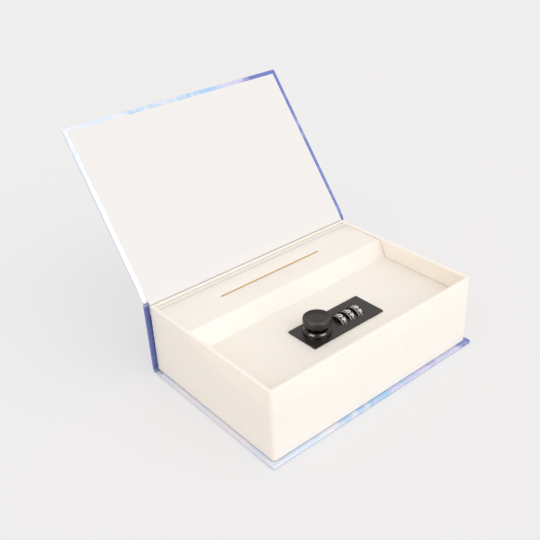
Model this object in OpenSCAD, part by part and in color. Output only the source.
// Book money box: a bound book cover, a ribbed page block and a locked lid inside.
// X runs along the spine, the fore edge faces -Y, the spine is on the +Y side.
// The origin is on the floor, under the middle of the page block.

/* [Page block] */
// Length of the page block along the spine
block_w = 174; // [150:1:220]
// Depth of the page block from fore edge to spine
block_d = 120; // [105:1:150]
// Height of the page block
block_h = 50.5; // [42:0.5:80]
// Thickness of the walls
wall = 2.4; // [2:0.1:3.5]
// Thickness of the floor
floor_t = 2; // [1.5:0.1:3]
// Radius of the upright corners
block_corner_r = 2.5; // [1.5:0.1:5]
// Number of page hollows, one above the other
groove_count = 11; // [6:1:16]
// Depth of a page hollow
groove_depth = 0.55; // [0.3:0.05:0.8]
// Height of the smooth band under the rim and over the foot
groove_margin = 1; // [0.6:0.1:3]
// Width of the ridge between two page hollows
ridge_w = 0.5; // [0.3:0.1:1.2]

/* [Book covers] */
// Thickness of the grey board in the covers
board_t = 1.7; // [1.2:0.1:3]
// Thickness of the grey board in the spine
spine_board_t = 1.3; // [0.8:0.1:2.5]
// Thickness of the printed paper
paper_t = 0.25; // [0.2:0.05:0.5]
// Thickness of the white endpapers
endpaper_t = 0.2; // [0.15:0.05:0.4]
// How far the covers stand out beyond the page block
overhang = 2.9; // [1.5:0.1:5]
// Printed border left free round the front endpaper
border = 4; // [2:0.5:8]
// Width of the turned-in paper
turn_in = 14; // [8:1:20]
// Width of the flexible joint between board and spine
gutter = 7.8; // [6:0.1:12]
// Thickness of the flexible joint
joint_t = 0.5; // [0.4:0.05:0.8]
// Radius of the corners of the covers
cover_corner_r = 2; // [1:0.5:5]
// Gap between page block and spine
spine_gap = 0.4; // [0.3:0.05:1]
// Gap between the rim and the closed front cover
cover_gap = 0.4; // [0.3:0.05:1]
// Opening angle of the front cover as shown
cover_angle = 127.6; // [100:0.1:150]
// Lean of the spine with the cover open
spine_lean = 1.2; // [0.5:0.1:3]

/* [Inner lid] */
// Thickness of the lid
lid_t = 2; // [1.5:0.1:2.5]
// Depth of the shelf below the rim
shelf_drop = 1; // [0.5:0.1:3]
// Depth of the sunk front panel below the rim
well_depth = 13; // [12:0.5:16]
// Top of the ramp, from the back of the block
ramp_from_back = 41; // [36:0.5:46]
// Horizontal run of the ramp
ramp_run = 6.6; // [4:0.1:10]
// Rounding of the ramp's two edges
ramp_r = 1.2; // [0.5:0.1:2]
// Thickness of the ribs under the shelf
rib_t = 1.6; // [1:0.1:3]
// Gap at the sides and the front of the lid
lid_gap = 0.7; // [0.6:0.1:1.2]
// Gap between the lid and the back wall
back_gap = 0.8; // [0.6:0.1:1.2]
// Radius of the lid's rounded back edge
knuckle_r = 1.9; // [1.8:0.1:2.4]
// Radius of the hinge pins
pin_r = 0.8; // [0.6:0.05:1]
// Length of a hinge pin inside the lid
pin_l = 7; // [4:0.5:12]
// Width of the ledges that the lid rests on
ledge_w = 2; // [1.5:0.1:3]
// Gap under the closed lid
seat_gap = 0.3; // [0.2:0.05:0.5]

/* [Money slot] */
// Length of the money slot
slot_l = 87; // [60:1:110]
// Width of the money slot
slot_w = 1.6; // [1.2:0.1:3]
// Middle of the slot along the spine
slot_x = -2.3; // [-10:0.1:10]
// Middle of the slot from the back of the block
slot_from_back = 21.7; // [16:0.1:26]

/* [Lock plate and housing] */
// Length of the face plate
plate_l = 61; // [59:0.5:70]
// Width of the face plate
plate_w = 25; // [24.5:0.5:30]
// Thickness of the face plate
plate_t = 0.8; // [0.6:0.1:1.2]
// Middle of the lock from the fore edge of the block
lock_from_front = 37.8; // [34:0.1:40]
// Rim of the face plate outside the ends of the housing
plate_rim_x = 5; // [4.6:0.1:6]
// Rim of the face plate outside the sides of the housing
plate_rim_y = 2.9; // [1:0.1:3.2]
// Depth of the housing below the face plate
housing_h = 11.7; // [11.7:0.1:14]
// Gap round the housing in the lid
window_gap = 0.3; // [0.2:0.05:0.6]
// Thickness of the back plate
back_plate_t = 1.2; // [1:0.1:2]

/* [Knob and cam] */
// Place of the knob along the spine
knob_x = -17; // [-18:0.1:-15]
// Radius of the knob
knob_r = 9.1; // [8:0.1:9.5]
// Height of the knob above the face plate
knob_h = 11; // [9:0.1:11.5]
// Height of the cap's side
cap_h = 4.3; // [4:0.1:6]
// Radius of the knob's neck
neck_r = 5.8; // [5:0.1:7]
// Radius of the glossy collar
collar_r = 9.3; // [8.5:0.1:10]
// Height of the glossy collar
collar_h = 3.5; // [2:0.1:4]
// Depth of the dish in the knob's top
dish = 0.35; // [0.1:0.05:0.6]
// Radius of the spindle
spindle_r = 3; // [2.5:0.1:3.2]
// Running clearance round shafts
run_fit = 0.08; // [0.04:0.01:0.1]
// Gap between the tip of the turned cam and the front wall
cam_end_gap = 2; // [0.5:0.1:3]
// Thickness of the cam
cam_t = 1.6; // [1.2:0.1:2]
// Width of the cam
cam_w = 8; // [6:0.5:9]
// Hook depth of the strike on the front wall
strike_w = 4.8; // [4:0.1:6]

/* [Number wheels] */
// Radius of a number wheel
wheel_r = 6.5; // [6.2:0.1:6.7]
// Width of a number wheel
wheel_w = 5.2; // [4.8:0.1:5.4]
// Distance from wheel to wheel
wheel_pitch = 7.25; // [7.1:0.05:7.4]
// Place of the first wheel along the spine
wheel_x = 2.8; // [2:0.1:3.2]
// How far the wheels stand above the face plate
wheel_show = 2.6; // [2.2:0.1:2.8]
// Gap round a wheel in the face plate
wheel_slot_gap = 0.4; // [0.3:0.05:0.5]
// How far the bright rim stands out of a wheel
rim_step = 0.25; // [0.1:0.05:0.3]
// Width of the bright rim
rim_w = 0.6; // [0.4:0.1:0.8]
// Radius of the wheel shaft
shaft_r = 1.5; // [1.2:0.1:1.7]

/* [Hidden] */
$fn = 64;

// Colours as they look under plain light
cream = [0.97, 0.94, 0.89];
white_paper = [0.97, 0.95, 0.94];
print_blue = [0.55, 0.62, 0.86];
print_pale = [0.80, 0.83, 0.94];
grey_board = [0.62, 0.60, 0.56];
lock_black = [0.16, 0.15, 0.15];
gloss_black = [0.05, 0.05, 0.05];
steel = [0.72, 0.72, 0.74];

// Levels of the case, from the floor up
cover_t = board_t + 2 * paper_t + endpaper_t;
wrap_t = board_t + 2 * paper_t;
spine_t = spine_board_t + 2 * paper_t;
block_z = cover_t;
rim_z = block_z + block_h;
closed_z = rim_z + cover_gap;
cover_w = block_w + 2 * overhang;
cover_front = -block_d / 2 - overhang;
spine_in = block_d / 2 + spine_gap;
spine_mid = spine_in + spine_t / 2;
board_back = spine_mid - gutter;
board_d = board_back - cover_front;
fold_rise = 0.35;
low_axis_z = joint_t / 2 + fold_rise;
top_axis_z = closed_z + cover_t / 2;
bead = 0.25;
roll_r = joint_t / 2 + bead;
roll_gap = 0.3;
lap = 1;
// How far a cutter runs past the face that it goes through
cut = 1;
// The spine and both strips stop a little short of the folds
spine_z0 = low_axis_z + roll_r + roll_gap;
spine_z1 = top_axis_z - roll_r - roll_gap;

// Inside of the page block
in_w = block_w - 2 * wall;
in_d = block_d - 2 * wall;
in_r = 1.2;
floor_z = block_z + floor_t;
front_in = -in_d / 2;
back_in = in_d / 2;
groove_pitch = (block_h - 2 * groove_margin) / groove_count;
groove_steps = 6;

// Lid
shelf_z = rim_z - shelf_drop;
well_z = rim_z - well_depth;
ramp_top_y = block_d / 2 - ramp_from_back;
slot_y = block_d / 2 - slot_from_back;
ramp_low_y = ramp_top_y - ramp_run;
ramp_angle = atan2(shelf_z - well_z, ramp_run);
ramp_turn = lid_t * tan(ramp_angle / 2);
lid_w = in_w - 2 * lid_gap;
hinge_y = back_in - back_gap - knuckle_r;
hinge_z = shelf_z - knuckle_r;
// The panel's lower edge swings out past its closed place, so it is cut back by that much
edge_relief = sqrt(pow(hinge_y - front_in, 2) + pow(hinge_z - well_z, 2)) - (hinge_y - front_in);
lid_front = front_in + lid_gap + edge_relief;

// Lock, from the face plate down
lock_y = lock_from_front - block_d / 2;
housing_l = plate_l - 2 * plate_rim_x;
housing_w = plate_w - 2 * plate_rim_y;
cam_l = lock_y - front_in - cam_end_gap;
snug = 0.02;
plate_z = well_z + plate_t;
wheel_z = plate_z + wheel_show - wheel_r;
housing_z = well_z - housing_h;
back_plate_z = housing_z - back_plate_t;
pin_seat = wall * 0.6;
strike_t = 3;
cam_gap = 0.2;
cam_z = back_plate_z - cam_gap - cam_t;
washer_t = 0.6;
nut_h = 3;
nut_r = 4.04;
thread_r = 2;
square_w = spindle_r * 1.4;
bay_left = 1.9;
bay_right = 2;
bay_x0 = wheel_x - wheel_w / 2 - bay_left;
bay_x1 = wheel_x + 2 * wheel_pitch + wheel_w / 2 + bay_right;
bay_front = 8.4;
bay_back = 7.2;
housing_end = housing_l / 2;
boss_x = (plate_l / 2 + housing_end) / 2;
boss_edge = 3;
boss_y = plate_w / 2 - boss_edge;
boss_r = 1.5;
boss_gap = 0.15;
boss_short = 0.2;
small_screw_r = 0.8;
screw_head_r = 2;
screw_head_h = 1.2;
screw_in_x = 2.4;
screw_in_y = 2.6;
plate_screw_y = housing_w / 2 - screw_in_y;
plate_screw_r = 0.9;
plate_screw_l = 5;
flat_head_r = 1.6;
flat_head_h = 0.7;
hub_r = 4.2;
hub_h = 2.3;
hub_gap = 0.1;
chamber_r = hub_r + 0.5;
chamber_h = hub_h + 0.3;

// Wheels, sleeves and locking bar
// The flange of a sleeve turns under the face plate
sleeve_r = 2.3;
flange_r = wheel_r - wheel_show - plate_t - hub_gap;
flange_t = 0.7;
flange_gap = 0.05;
gate_w = 2.6;
gate_depth = 0.8;
scallop_count = 10;
scallop_r = 0.9;
scallop_w = 0.9;
bar_travel = 0.85;
bar_t = 1.4;
bar_w = 4;
finger_w = 2;
finger_t = 0.7;
bar_gap = 0.2;
bar_z = housing_z + hub_gap;
finger_x = -wheel_w / 2 - flange_gap - flange_t - bar_travel - flange_gap / 2;
bar_x0 = knob_x + hub_r + hub_gap;
bar_x1 = wheel_x + 2 * wheel_pitch + finger_x + finger_t;
spring_r = 0.8;
leaf_t = 0.3;
reset_r = 1.7;
reset_x = (knob_x + bay_x0) / 2 + 1.4;
reset_y = lock_y - 6.2;
reset_depth = 5;
cap_recess = 0.9;
cap_rim = 1.3;
cap_roof = 2.4;
bore_top = knob_h - cap_roof;

// Plan outline with rounded corners
module rounded_rect(w, d, r) {
    square([w - 2 * r, d], center = true);
    square([w, d - 2 * r], center = true);
    for (x = [-1, 1], y = [-1, 1])
        translate([x * (w / 2 - r), y * (d / 2 - r)])
            circle(r = r, $fn = 32);
}

// A plate given by its low and high corners
module slab(low, high) {
    translate(low)
        cube([high[0] - low[0], high[1] - low[1], high[2] - low[2]]);
}

// A rod along X, centred
module rod_x(r, l) {
    rotate([0, 90, 0])
        cylinder(r = r, h = l, center = true);
}

// A profile drawn in Y and Z, drawn out along X, centred
module along_x(l) {
    rotate([90, 0, 90])
        linear_extrude(l, center = true)
            children();
}

// A plate with rounded corners, from its front edge to its back edge
module cover_plate(w, y0, y1, z, t, r) {
    translate([0, (y0 + y1) / 2, z])
        linear_extrude(t)
            rounded_rect(w, y1 - y0, r);
}

// Turns what is closed to the place that it has with the spine leaning back
module lean() {
    translate([0, spine_mid, low_axis_z])
        rotate([-spine_lean, 0, 0])
            translate([0, -spine_mid, -low_axis_z])
                children();
}

// Turns the closed front cover about the fold on top of the spine
module opened() {
    lean()
        translate([0, spine_mid, top_axis_z])
            rotate([spine_lean - cover_angle, 0, 0])
                translate([0, -spine_mid, -top_axis_z])
                    children();
}

// Grey board of a cover, lying flat with its paper's underside at z
module board_flat(z) {
    color(grey_board)
        cover_plate(cover_w - 2 * paper_t, cover_front + paper_t, board_back - paper_t,
            z + paper_t, board_t, cover_corner_r - paper_t);
}

// Printed paper round a board, open inside the turned-in border on one side
module wrap_flat(z, window_z) {
    difference() {
        cover_plate(cover_w, cover_front, board_back, z, wrap_t, cover_corner_r);
        cover_plate(cover_w - 2 * paper_t, cover_front + paper_t, board_back - paper_t,
            z + paper_t, board_t, cover_corner_r - paper_t);
        window_flat(window_z, 2 * paper_t);
    }
}

// The window between the turned-in edges
module window_flat(z, t) {
    slab([-cover_w / 2 + turn_in, cover_front + turn_in, z],
        [cover_w / 2 - turn_in, board_back - turn_in, z + t]);
}

module back_cover_board() {
    board_flat(0);
}

module back_cover_wrap() {
    color(print_pale)
        wrap_flat(0, paper_t + board_t);
}

module back_endpaper() {
    color(white_paper) {
        cover_plate(block_w - 2, -block_d / 2 + 1, board_back - 1, wrap_t, endpaper_t, block_corner_r);
        window_flat(wrap_t - paper_t, paper_t + endpaper_t);
    }
}

// Strip from the back board to the fold under the spine
module back_joint_strip() {
    color(print_blue)
        along_x(cover_w) {
            polygon([[board_back, 0], [spine_mid, low_axis_z - joint_t / 2],
                [spine_mid, low_axis_z + joint_t / 2], [board_back, joint_t]]);
            translate([spine_mid, low_axis_z])
                circle(r = roll_r, $fn = 32);
        }
}

module spine_board() {
    color(grey_board)
        lean()
            slab([-cover_w / 2 + paper_t, spine_in + paper_t, spine_z0 + paper_t],
                [cover_w / 2 - paper_t, spine_in + paper_t + spine_board_t, spine_z1 - paper_t]);
}

module spine_wrap() {
    color(print_blue)
        lean()
            difference() {
                slab([-cover_w / 2, spine_in, spine_z0], [cover_w / 2, spine_in + spine_t, spine_z1]);
                slab([-cover_w / 2 + paper_t, spine_in + paper_t, spine_z0 + paper_t],
                    [cover_w / 2 - paper_t, spine_in + paper_t + spine_board_t, spine_z1 - paper_t]);
                slab([-cover_w / 2 + turn_in, spine_in - 1, spine_z0 + turn_in],
                    [cover_w / 2 - turn_in, spine_in + 2 * paper_t, spine_z1 - turn_in]);
            }
}

// Underside of the front strip, from the board down to the fold
function strip_low(y) =
    closed_z + endpaper_t
        + (y - board_back) / gutter * (top_axis_z - joint_t / 2 - closed_z - endpaper_t);

module front_joint_strip() {
    color(print_blue)
        opened()
            along_x(cover_w) {
                polygon([[board_back, strip_low(board_back)], [spine_mid, strip_low(spine_mid)],
                    [spine_mid, strip_low(spine_mid) + joint_t],
                    [board_back, strip_low(board_back) + joint_t]]);
                translate([spine_mid, top_axis_z])
                    circle(r = roll_r, $fn = 32);
            }
}

module front_cover_board() {
    opened()
        board_flat(closed_z + endpaper_t);
}

module front_cover_wrap() {
    color(print_blue)
        opened()
            wrap_flat(closed_z + endpaper_t, closed_z + endpaper_t - paper_t);
}

// White sheet inside the front cover, bent over the gutter
module front_endpaper() {
    end_y = spine_mid - roll_r - roll_gap;
    color(white_paper)
        opened() {
            cover_plate(cover_w - 2 * border, cover_front + border, board_back,
                closed_z, endpaper_t, 0.5);
            window_flat(closed_z, endpaper_t + paper_t);
            along_x(cover_w - 2 * border)
                polygon([[board_back - lap, closed_z], [board_back, closed_z],
                    [end_y, strip_low(end_y) - endpaper_t], [end_y, strip_low(end_y)],
                    [board_back, closed_z + endpaper_t], [board_back - lap, closed_z + endpaper_t]]);
        }
}

// Plan of the page block: round at the fore edge, square at the spine
module page_outline() {
    rounded_rect(block_w, block_d, block_corner_r);
    translate([0, block_d / 4])
        square([block_w, block_d / 2], center = true);
}

// Cutting outlines of all page hollows, for a face at x = 0 that looks along +x
module groove_profiles() {
    half = (groove_pitch - ridge_w) / 2;
    for (i = [0:groove_count - 1]) {
        z = block_z + groove_margin + groove_pitch * (i + 0.5);
        hollow = [for (k = [0:groove_steps])
            let (u = 2 * k / groove_steps - 1) [groove_depth * (u * u - 1), z + half * u]];
        polygon(concat([[wall, z - half]], hollow, [[wall, z + half]]));
    }
}

// The hollows along the fore edge and both short sides, round the two front corners
module page_grooves() {
    corner_x = block_w / 2 - block_corner_r;
    corner_y = block_corner_r - block_d / 2;
    rotate([90, 0, -90])
        translate([block_d / 2, 0])
            linear_extrude(2 * corner_x, center = true)
                groove_profiles();
    for (side = [0, 1])
        mirror([side, 0, 0]) {
            translate([block_w / 2, block_d / 2 + 1, 0])
                rotate([90, 0, 0])
                    linear_extrude(block_d / 2 + 1 - corner_y)
                        groove_profiles();
            translate([corner_x, corner_y, 0])
                rotate([0, 0, -90])
                    rotate_extrude(angle = 90)
                        translate([block_corner_r, 0])
                            groove_profiles();
        }
}

module page_block() {
    ledge_z = well_z - lid_t - seat_gap;
    ledge_end = ramp_low_y - ramp_run;
    strike_z = cam_z + cam_t + seat_gap;
    strike_half = cam_w * 1.4;
    color(cream) {
        difference() {
            translate([0, 0, block_z])
                linear_extrude(block_h)
                    page_outline();
            page_grooves();
            translate([0, 0, floor_z])
                linear_extrude(block_h)
                    rounded_rect(in_w, in_d, in_r);
            for (side = [-1, 1])
                translate([side * in_w / 2, hinge_y, hinge_z])
                    rod_x(pin_r + snug, 2 * pin_seat);
        }
        // Ledges under the lid at the front and at both sides
        slab([-in_w / 2, front_in, ledge_z - wall], [in_w / 2, front_in + ledge_w, ledge_z]);
        for (side = [0, 1])
            mirror([side, 0, 0])
                slab([in_w / 2 - ledge_w, front_in, ledge_z - wall], [in_w / 2, ledge_end, ledge_z]);
        // Strike that the cam turns under
        slab([knob_x - strike_half, front_in, strike_z],
            [knob_x + strike_half, front_in + strike_w, strike_z + strike_t]);
    }
}

module lid_hinge_pins() {
    outer = in_w / 2 + pin_seat - 0.2;
    inner = lid_w / 2 - pin_l + 0.2;
    color(steel)
        for (side = [-1, 1])
            translate([side * (outer + inner) / 2, hinge_y, hinge_z])
                rod_x(pin_r, outer - inner);
}

// Points of an arc that rounds a corner of the lid's profile
function arc_points(centre, r, a0, a1) =
    [for (i = [0:4]) centre + r * [cos(a0 + (a1 - a0) * i / 4), sin(a0 + (a1 - a0) * i / 4)]];

// Profile of the lid: shelf, ramp and sunk panel, one thickness throughout
module lid_profile() {
    top_t = ramp_r * tan(ramp_angle / 2);
    foot_t = ramp_r * tan(ramp_angle / 2);
    top_edge = arc_points([ramp_top_y + top_t, shelf_z - ramp_r], ramp_r, 90, 90 + ramp_angle);
    foot_edge = arc_points([ramp_low_y - foot_t, well_z + ramp_r], ramp_r, -90 + ramp_angle, -90);
    polygon(concat(
        [[hinge_y, shelf_z]],
        top_edge,
        foot_edge,
        [[lid_front, well_z], [lid_front, well_z - lid_t],
            [ramp_low_y + ramp_turn, well_z - lid_t], [ramp_top_y + ramp_turn, shelf_z - lid_t],
            [hinge_y, shelf_z - lid_t]]
    ));
    translate([hinge_y, hinge_z])
        circle(r = knuckle_r, $fn = 48);
}

module inner_lid() {
    rib_z = well_z - lid_t / 2;
    rib_y = ramp_low_y + ramp_turn;
    rib_end = slot_y - well_depth / 2;
    window_l = housing_l + 2 * window_gap;
    window_w = housing_w + 2 * window_gap;
    color(cream)
        difference() {
            union() {
                intersection() {
                    along_x(lid_w)
                        lid_profile();
                    translate([0, (lid_front + back_in) / 2, 0])
                        linear_extrude(rim_z)
                            rounded_rect(lid_w, back_in - lid_front, in_r);
                }
                // Stiffening ribs under the shelf
                for (x = [-lid_w / 3, lid_w / 3])
                    translate([x, 0, 0])
                        along_x(rib_t)
                            polygon([[rib_y, rib_z], [rib_y + lid_t, rib_z], [rib_end, shelf_z - lid_t],
                                [ramp_top_y, shelf_z - lid_t / 2]]);
            }
            // Money slot
            translate([slot_x, slot_y, shelf_z])
                cube([slot_l, slot_w, 3 * lid_t], center = true);
            // Window for the lock housing
            translate([0, lock_y, well_z])
                cube([window_l, window_w, 3 * lid_t], center = true);
            for (x = [-1, 1], y = [-1, 1])
                translate([x * boss_x, lock_y + y * boss_y, well_z - 2 * lid_t])
                    cylinder(r = boss_r + boss_gap, h = 3 * lid_t);
            // Bores of the two hinge pins
            for (side = [-1, 1])
                translate([side * lid_w / 2, hinge_y, hinge_z])
                    rod_x(pin_r + run_fit, 2 * pin_l);
        }
}

// Face plate with its wheel slots, spindle hole and four screw bosses
module lock_face_plate() {
    slot_half = wheel_w / 2 + wheel_slot_gap;
    slot_y_half = sqrt(pow(wheel_r + rim_step, 2) - pow(well_z - wheel_z, 2)) + wheel_slot_gap / 2;
    color(lock_black)
        difference() {
            union() {
                translate([0, lock_y, well_z])
                    linear_extrude(plate_t)
                        rounded_rect(plate_l, plate_w, 0.8);
                for (x = [-1, 1], y = [-1, 1])
                    translate([x * boss_x, lock_y + y * boss_y, well_z - lid_t + boss_short])
                        cylinder(r = boss_r, h = lid_t);
            }
            for (i = [0:2])
                translate([wheel_x + i * wheel_pitch, lock_y, plate_z])
                    cube([2 * slot_half, 2 * slot_y_half, 3 * plate_t], center = true);
            translate([knob_x, lock_y, well_z - cut])
                cylinder(r = spindle_r + run_fit, h = plate_t + 2 * cut);
            for (x = [-1, 1], y = [-1, 1])
                translate([x * boss_x, lock_y + y * boss_y, well_z - 2 * lid_t])
                    cylinder(r = small_screw_r + snug, h = 2 * lid_t);
        }
}

module face_plate_screws() {
    color(steel)
        for (x = [-1, 1], y = [-1, 1])
            translate([x * boss_x, lock_y + y * boss_y, well_z - lid_t - screw_head_h])
                difference() {
                    union() {
                        cylinder(r = screw_head_r, h = screw_head_h);
                        cylinder(r = small_screw_r, h = screw_head_h + lid_t - 0.2);
                    }
                    cube([2 * screw_head_r + 1, 0.5, 1], center = true);
                }
}

module lock_housing() {
    color(lock_black)
        difference() {
            slab([-housing_end, lock_y - housing_w / 2, housing_z],
                [housing_end, lock_y + housing_w / 2, well_z]);
            // Bay of the wheels, open at both ends
            slab([bay_x0, lock_y - bay_front, housing_z - cut],
                [bay_x1, lock_y + bay_back, well_z + cut]);
            // Bore and hub chamber of the spindle
            translate([knob_x, lock_y, housing_z - cut])
                cylinder(r = spindle_r + run_fit, h = housing_h + 2 * cut);
            translate([knob_x, lock_y, housing_z - cut])
                cylinder(r = chamber_r, h = cut + chamber_h);
            // Channel of the locking bar
            slab([knob_x, lock_y - bar_w / 2 - bar_gap, housing_z - cut],
                [bay_x0 + cut, lock_y + bar_w / 2 + bar_gap, bar_z + bar_t + bar_gap]);
            // Bore of the wheel shaft
            translate([(bay_x0 + bay_x1) / 2, lock_y, wheel_z])
                rod_x(shaft_r + snug, bay_x1 - bay_x0 + 5);
            translate([reset_x, reset_y, housing_z - cut])
                cylinder(r = reset_r + run_fit, h = cut + reset_depth);
            back_plate_corners()
                translate([0, 0, housing_z - cut])
                    cylinder(r = plate_screw_r + snug, h = cut + plate_screw_l);
        }
}

// The four corners at which the back plate is screwed on
module back_plate_corners() {
    right_x = (bay_x1 + housing_end) / 2;
    for (y = [-1, 1]) {
        translate([-housing_end + screw_in_x, lock_y + y * plate_screw_y, 0])
            children();
        translate([right_x, lock_y + y * plate_screw_y, 0])
            children();
    }
}

module lock_back_plate() {
    color(steel)
        difference() {
            slab([-housing_end, lock_y - housing_w / 2, back_plate_z],
                [housing_end, lock_y + housing_w / 2, housing_z]);
            translate([knob_x, lock_y, back_plate_z - cut])
                cylinder(r = spindle_r + run_fit, h = back_plate_t + 2 * cut);
            translate([reset_x, reset_y, back_plate_z - cut])
                cylinder(r = reset_r + run_fit, h = back_plate_t + 2 * cut);
            back_plate_corners() {
                translate([0, 0, back_plate_z - cut])
                    cylinder(r = plate_screw_r + hub_gap, h = back_plate_t + 2 * cut);
            }
            back_plate_corners() {
                translate([0, 0, back_plate_z - cut])
                    cylinder(r = flat_head_r + hub_gap, h = cut + flat_head_h);
            }
        }
}

module back_plate_screws() {
    color(steel)
        back_plate_corners()
            translate([0, 0, back_plate_z])
                difference() {
                    union() {
                        cylinder(r = flat_head_r, h = flat_head_h);
                        cylinder(r = plate_screw_r, h = plate_screw_l);
                    }
                    cube([2 * flat_head_r + 1, 0.4, 0.6], center = true);
                }
}

// Glossy ring round the knob's foot
module knob_collar() {
    shoulder = collar_h * 0.8;
    color(gloss_black)
        translate([knob_x, lock_y, plate_z])
            rotate_extrude($fn = 96)
                polygon(concat(
                    [[neck_r + run_fit, 0], [collar_r, 0]],
                    [for (a = [0:15:90])
                        [collar_r + shoulder * (cos(a) - 1), collar_h + shoulder * (sin(a) - 1)]],
                    [[neck_r + run_fit, collar_h]]
                ));
}

// Mushroom knob, with a blind bore for the spindle and a seat for the insert
module knob_cap() {
    edge = 0.6;
    bore_r = spindle_r + snug;
    side_z = knob_h - cap_h;
    color(lock_black)
        translate([knob_x, lock_y, plate_z])
            rotate_extrude($fn = 96)
                polygon([
                    [bore_r, 0.15], [neck_r, 0.15], [neck_r, side_z - 0.3],
                    [knob_r - edge, side_z - 0.3], [knob_r, side_z + 0.3],
                    [knob_r, knob_h - edge], [knob_r - edge / 3, knob_h - edge / 3],
                    [knob_r - edge, knob_h], [knob_r - cap_rim, knob_h - 0.1],
                    [knob_r - cap_rim, knob_h - cap_recess], [0, knob_h - cap_recess],
                    [0, bore_top], [bore_r, bore_top]
                ]);
}

// Dished disc let into the top of the knob
module knob_insert() {
    disc_r = knob_r - cap_rim - 0.05;
    disc_t = cap_recess - 0.15;
    color(lock_black)
        translate([knob_x, lock_y, plate_z + knob_h - cap_recess])
            rotate_extrude($fn = 96)
                polygon(concat(
                    [[0, 0], [disc_r, 0]],
                    [for (u = [1:-0.2:0]) [disc_r * u, disc_t - dish * (1 - u * u)]]
                ));
}

// Spindle with its hub in the housing, square for the cam and thread for the nut
module knob_spindle() {
    color(steel)
        translate([knob_x, lock_y, 0])
            difference() {
                union() {
                    translate([0, 0, back_plate_z - cam_gap / 2])
                        cylinder(r = spindle_r, h = plate_z + bore_top - back_plate_z + cam_gap / 2);
                    translate([0, 0, housing_z + hub_gap])
                        cylinder(r = hub_r, h = hub_h);
                    translate([-square_w / 2, -square_w / 2, cam_z - washer_t / 2])
                        cube([square_w, square_w, cam_t + cam_gap + washer_t / 2]);
                    translate([0, 0, cam_z - washer_t - nut_h - 0.6])
                        cylinder(r = thread_r, h = nut_h + washer_t + 1);
                }
                // Two flats a quarter turn apart, which the bar's end faces at each stop
                for (a = [0, -90])
                    rotate([0, 0, a])
                        translate([hub_r + 0.3, 0, housing_z + 1.2])
                            cube([1.2, 2, 4], center = true);
            }
}

module lock_cam() {
    tip_r = cam_w / 2;
    color(steel)
        translate([knob_x, lock_y, cam_z])
            linear_extrude(cam_t)
                difference() {
                    union() {
                        circle(r = cam_w * 0.75);
                        translate([-(cam_l - tip_r), -tip_r])
                            square([cam_l - tip_r, cam_w]);
                        translate([-(cam_l - tip_r), 0])
                            circle(r = tip_r);
                    }
                    square(square_w + 0.1, center = true);
                }
}

module cam_washer() {
    color(steel)
        translate([knob_x, lock_y, cam_z - washer_t])
            linear_extrude(washer_t)
                difference() {
                    circle(r = nut_r + 0.3);
                    circle(r = square_w * 0.72);
                }
}

module cam_nut() {
    color(steel)
        translate([knob_x, lock_y, cam_z - washer_t - nut_h])
            difference() {
                cylinder(r = nut_r, h = nut_h, $fn = 6);
                translate([0, 0, -1])
                    cylinder(r = thread_r + snug, h = nut_h + 2);
            }
}

module wheel_shaft() {
    color(steel)
        translate([(bay_x0 + bay_x1) / 2, lock_y, wheel_z])
            rod_x(shaft_r, bay_x1 - bay_x0 + 4);
}

// Puts a child at the middle of wheel i
module at_wheel(i) {
    translate([wheel_x + (i - 1) * wheel_pitch, lock_y, wheel_z])
        children();
}

// Number wheel: drum, bright rim on its left, ten notches on its right
module number_wheel(i) {
    color(gloss_black)
        at_wheel(i)
            difference() {
                union() {
                    rod_x(wheel_r, wheel_w);
                    translate([-(wheel_w - rim_w) / 2, 0, 0])
                        rod_x(wheel_r + rim_step, rim_w);
                }
                rod_x(sleeve_r + snug, wheel_w + 2);
                for (k = [0:scallop_count - 1])
                    rotate([k * 360 / scallop_count, 0, 0])
                        translate([wheel_w / 2, 0, wheel_r + scallop_r * 0.45])
                            rod_x(scallop_r, 2 * scallop_w);
            }
}

// Code sleeve inside a wheel, with its flange on the left and two gates half a turn apart
module code_sleeve(i) {
    flange_x = -wheel_w / 2 - flange_gap - flange_t / 2;
    color(steel)
        at_wheel(i)
            difference() {
                union() {
                    rod_x(sleeve_r, wheel_w);
                    translate([-wheel_w / 2, 0, 0])
                        rod_x(sleeve_r, 2 * flange_gap);
                    translate([flange_x, 0, 0])
                        rod_x(flange_r, flange_t);
                }
                rod_x(shaft_r + run_fit, 3 * wheel_w);
                for (side = [-1, 1])
                    translate([flange_x, 0, side * flange_r])
                        cube([2 * flange_t, gate_w, 2 * gate_depth], center = true);
            }
}

module number_wheel_1() {
    number_wheel(1);
}

module number_wheel_2() {
    number_wheel(2);
}

module number_wheel_3() {
    number_wheel(3);
}

module code_sleeve_1() {
    code_sleeve(1);
}

module code_sleeve_2() {
    code_sleeve(2);
}

module code_sleeve_3() {
    code_sleeve(3);
}

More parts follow.
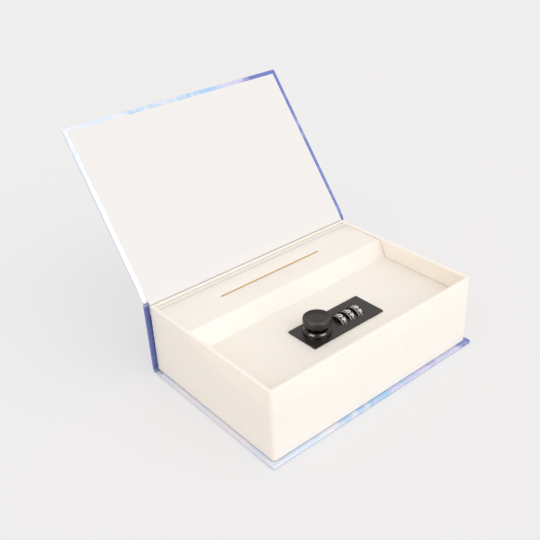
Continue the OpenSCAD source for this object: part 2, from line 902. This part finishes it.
// Leaf spring along the bay's front side, one finger for each wheel
module detent_spring() {
    bump_r = 0.5;
    leaf_y = lock_y - bay_front;
    bump_y = lock_y - wheel_r - bump_r - run_fit;
    color(steel) {
        slab([bay_x0, leaf_y, housing_z], [bay_x1, leaf_y + leaf_t, housing_z + 3]);
        for (i = [1:3])
            translate([wheel_x + (i - 1) * wheel_pitch + (wheel_w - scallop_w) / 2, 0, 0]) {
                slab([-0.5, leaf_y, housing_z], [0.5, leaf_y + leaf_t, wheel_z + 1]);
                slab([-0.4, leaf_y, wheel_z - bump_r], [0.4, bump_y, wheel_z + bump_r]);
                translate([0, bump_y, wheel_z])
                    rod_x(bump_r, 0.8);
            }
    }
}

// Flat bar under the wheels, with a finger for each gate
module locking_bar() {
    finger_top = wheel_z - flange_r + gate_depth * 0.7;
    color(steel) {
        slab([bar_x0, lock_y - bar_w / 2, bar_z], [bar_x1, lock_y + bar_w / 2, bar_z + bar_t]);
        for (i = [0:2])
            translate([wheel_x + i * wheel_pitch + finger_x, 0, 0])
                slab([0, lock_y - finger_w / 2, bar_z], [finger_t, lock_y + finger_w / 2, finger_top]);
    }
}

// Small coil spring that pushes the bar back, closed as a tube
module bar_spring() {
    color(steel)
        translate([(bar_x1 + bay_x1) / 2, lock_y, bar_z + spring_r])
            difference() {
                rod_x(spring_r, bay_x1 - bar_x1 - 0.1);
                rod_x(spring_r * 0.6, bay_x1);
            }
}

// Slotted screw in the back plate, turned to set a new code
module reset_screw() {
    color(steel)
        translate([reset_x, reset_y, back_plate_z - cam_gap / 2])
            difference() {
                cylinder(r = reset_r, h = back_plate_t + reset_depth - 0.5);
                cube([2 * reset_r + 1, 0.5, 1.4], center = true);
            }
}

back_cover_board();
back_cover_wrap();
back_endpaper();
back_joint_strip();
spine_board();
spine_wrap();
front_joint_strip();
front_cover_board();
front_cover_wrap();
front_endpaper();
page_block();
lid_hinge_pins();
inner_lid();
lock_face_plate();
lock_housing();
lock_back_plate();
face_plate_screws();
back_plate_screws();
knob_collar();
knob_cap();
knob_insert();
knob_spindle();
lock_cam();
cam_washer();
cam_nut();
wheel_shaft();
number_wheel_1();
number_wheel_2();
number_wheel_3();
code_sleeve_1();
code_sleeve_2();
code_sleeve_3();
detent_spring();
locking_bar();
bar_spring();
reset_screw();
